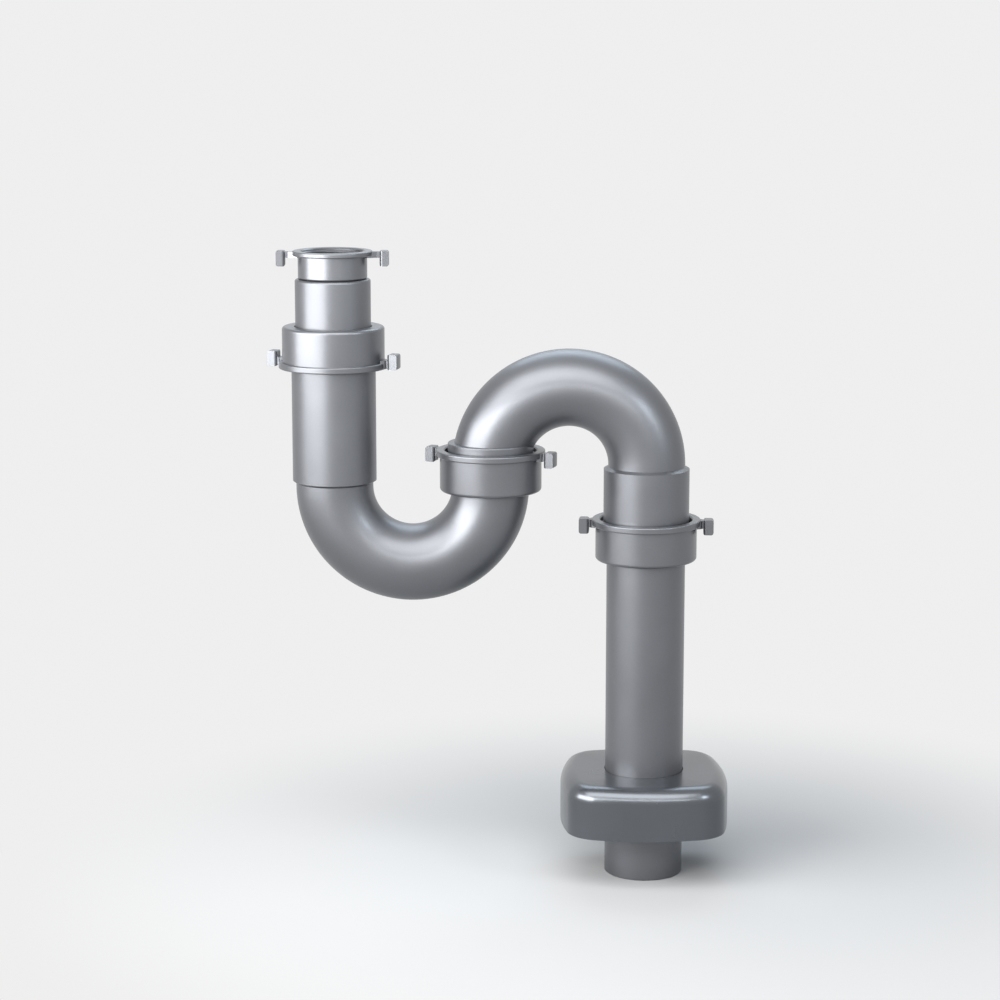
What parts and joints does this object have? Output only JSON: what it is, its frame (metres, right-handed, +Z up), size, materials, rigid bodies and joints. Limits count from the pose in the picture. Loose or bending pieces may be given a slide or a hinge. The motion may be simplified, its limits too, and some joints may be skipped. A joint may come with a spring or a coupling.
{
  "type": "waste trap",
  "caption": "S-shaped tubular waste trap: two half-circle bends joined by lugged union and slip nuts, a captive inlet nut, and a straight floor outlet pipe with a bowed square flange.",
  "frame": {"origin": "centre of the outlet pipe's lower end", "axes": "+Z up along the outlet pipe; the trap stands in the XZ plane with its inlet on the -X side"},
  "size_m": [0.2348, 0.0858, 0.3219],
  "materials": {
    "silver_plastic": "satin",
    "nut_plastic": "satin",
    "flange_plastic": "satin",
    "black_rubber": "matte",
    "pale_plastic": "matte"
  },
  "bodies": {
    "outlet_pipe": {"outlet_pipe": "silver_plastic"},
    "floor_flange": {"floor_flange": "flange_plastic"},
    "flange_seal": {"flange_seal": "black_rubber"},
    "outlet_nut": {"outlet_nut": "nut_plastic"},
    "outlet_washer": {"outlet_washer": "pale_plastic"},
    "outlet_packing": {"outlet_packing": "black_rubber"},
    "crown_bend": {"crown_bend": "silver_plastic"},
    "union_nut": {"union_nut": "nut_plastic"},
    "union_gasket": {"union_gasket": "black_rubber"},
    "trap_bend": {"trap_bend": "silver_plastic", "riser_packing": "black_rubber"},
    "riser_washer": {"riser_washer": "pale_plastic"},
    "riser_nut": {"riser_nut": "nut_plastic"},
    "tail_pipe": {"tail_pipe": "silver_plastic", "inlet_gasket": "black_rubber"},
    "inlet_nut": {"inlet_nut": "nut_plastic"}
  },
  "joints": [
    {"name": "outlet_height", "type": "slide", "parent": "outlet_pipe", "child": "outlet_packing", "axis": [0, 0, 1], "range_m": [-0.012, 0.012]},
    {"name": "crown_swivel", "type": "hinge", "parent": "outlet_packing", "child": "crown_bend", "pos_m": [0, 0, 0.1705], "axis": [0, 0, 1], "continuous": true},
    {"name": "outlet_nut_travel", "type": "slide", "parent": "crown_bend", "child": "outlet_washer", "axis": [0, 0, -1], "range_m": [0, 0.009]},
    {"name": "outlet_nut_turn", "type": "hinge", "parent": "outlet_washer", "child": "outlet_nut", "pos_m": [0, 0, 0.1647], "axis": [0, 0, -1], "range_deg": [0, 1080]},
    {"name": "union_drop", "type": "slide", "parent": "crown_bend", "child": "union_gasket", "axis": [0, 0, -1], "range_m": [0, 0.009]},
    {"name": "union_nut_turn", "type": "hinge", "parent": "union_gasket", "child": "union_nut", "pos_m": [-0.079, 0, 0.2004], "axis": [0, 0, -1], "range_deg": [0, 1080]},
    {"name": "trap_swivel", "type": "hinge", "parent": "union_gasket", "child": "trap_bend", "pos_m": [-0.079, 0, 0.2053], "axis": [0, 0, 1], "range_deg": [-115, 115]},
    {"name": "riser_nut_travel", "type": "slide", "parent": "trap_bend", "child": "riser_washer", "axis": [0, 0, 1], "range_m": [0, 0.009]},
    {"name": "riser_nut_turn", "type": "hinge", "parent": "riser_washer", "child": "riser_nut", "pos_m": [-0.158, 0, 0.2841], "axis": [0, 0, 1], "range_deg": [0, 1080]},
    {"name": "tail_height", "type": "slide", "parent": "trap_bend", "child": "tail_pipe", "axis": [0, 0, 1], "range_m": [-0.02, 0.025]},
    {"name": "inlet_nut_turn", "type": "hinge", "parent": "tail_pipe", "child": "inlet_nut", "pos_m": [-0.158, 0, 0.3079], "axis": [0, 0, 1], "continuous": true},
    {"name": "flange_height", "type": "slide", "parent": "outlet_pipe", "child": "flange_seal", "axis": [0, 0, 1], "range_m": [-0.028, 0.085]},
    {"name": "flange_turn", "type": "hinge", "parent": "flange_seal", "child": "floor_flange", "pos_m": [0, 0, 0.028], "axis": [0, 0, 1], "continuous": true}
  ],
  "couplings": [
    {"joint": "outlet_nut_travel", "follows": "outlet_nut_turn", "m_per_rad": 0.0004774},
    {"joint": "union_drop", "follows": "union_nut_turn", "m_per_rad": 0.0004774},
    {"joint": "riser_nut_travel", "follows": "riser_nut_turn", "m_per_rad": 0.0004774}
  ]
}
